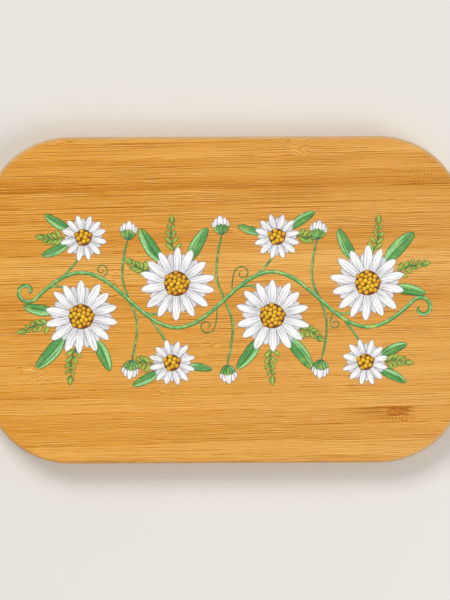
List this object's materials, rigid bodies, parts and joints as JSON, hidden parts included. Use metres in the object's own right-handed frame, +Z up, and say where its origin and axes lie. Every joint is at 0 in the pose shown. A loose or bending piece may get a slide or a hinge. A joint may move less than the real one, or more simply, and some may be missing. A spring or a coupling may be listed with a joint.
{
  "type": "bamboo board",
  "caption": "Flat bamboo serving board or lunch box lid of strips glued side by side, with broad round corners, a softened rim and a printed daisy garland on top.",
  "frame": {"origin": "under the middle of the board, on the surface that it lies on", "axes": "+X along the board's length and the bamboo's grain, +Y towards the far long edge, +Z up through the printed face"},
  "size_m": [0.192, 0.13, 0.012],
  "materials": {
    "bamboo_straw": "sanded and oiled, satin, fine lengthwise fibres",
    "bamboo_honey": "sanded and oiled, satin, fine lengthwise fibres",
    "bamboo_amber": "sanded and oiled, satin, fine lengthwise fibres",
    "printing_ink": "cured printing ink, matt, a film on the wood"
  },
  "bodies": {
    "root": {"lamella_01": "bamboo_straw", "lamella_02": "bamboo_honey", "lamella_03": "bamboo_honey", "lamella_04": "bamboo_amber", "lamella_05": "bamboo_honey", "lamella_06": "bamboo_honey", "lamella_07": "bamboo_honey", "lamella_08": "bamboo_honey", "lamella_09": "bamboo_straw", "lamella_10": "bamboo_straw", "lamella_11": "bamboo_honey", "lamella_12": "bamboo_honey", "lamella_13": "bamboo_honey", "lamella_14": "bamboo_honey", "lamella_15": "bamboo_honey", "lamella_16": "bamboo_honey", "lamella_17": "bamboo_honey", "lamella_18": "bamboo_honey", "lamella_19": "bamboo_honey", "lamella_20": "bamboo_honey", "lamella_21": "bamboo_straw", "lamella_22": "bamboo_straw"}
  },
  "joints": []
}
